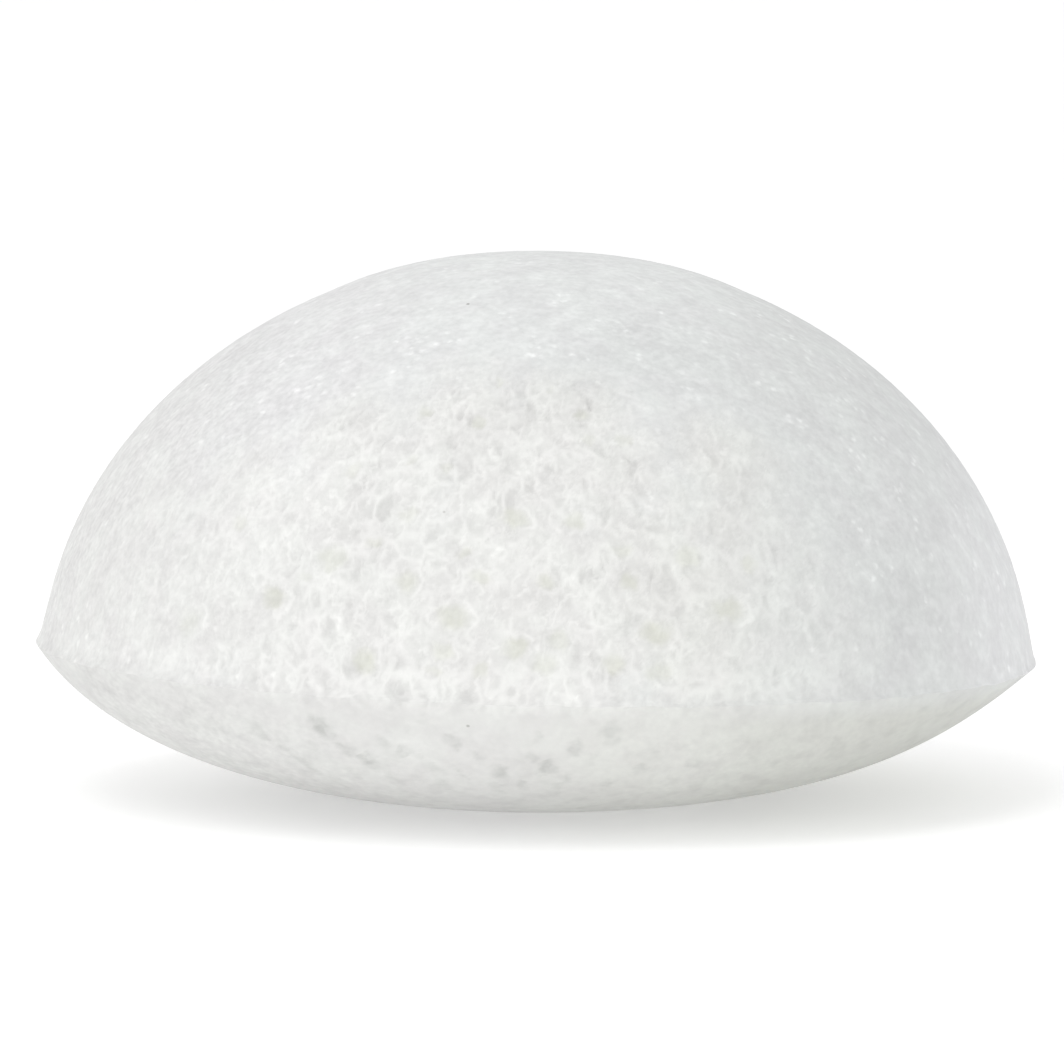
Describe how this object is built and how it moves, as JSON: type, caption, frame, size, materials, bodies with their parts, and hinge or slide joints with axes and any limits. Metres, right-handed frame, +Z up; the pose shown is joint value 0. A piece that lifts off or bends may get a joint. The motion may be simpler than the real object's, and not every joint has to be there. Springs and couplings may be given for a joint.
{
  "type": "konjac sponge",
  "caption": "Half-ball cleansing sponge of white konjac gel foam: a porous dome over a shallow bulging base that stands on a small flat foot.",
  "frame": {"origin": "middle of the flat foot under the base, on the surface the sponge stands on", "axes": "+Z up through the crown of the dome, along the turning axis; +X to the right and +Y away in the picture's view"},
  "size_m": [0.08, 0.08, 0.0435],
  "materials": {
    "dome_foam": "damp open-pored konjac foam, white, matte with fine wet glints",
    "base_foam": "closed konjac gel skin, white and slightly see-through, soft satin",
    "core_foam": "coarse open-celled konjac foam, white, matte",
    "lip_foam": "thin translucent edge of konjac gel, white, satin"
  },
  "bodies": {
    "root": {"dome_skin": "dome_foam", "base_skin": "base_foam", "foam_core": "core_foam", "rim_lip": "lip_foam"}
  },
  "joints": []
}
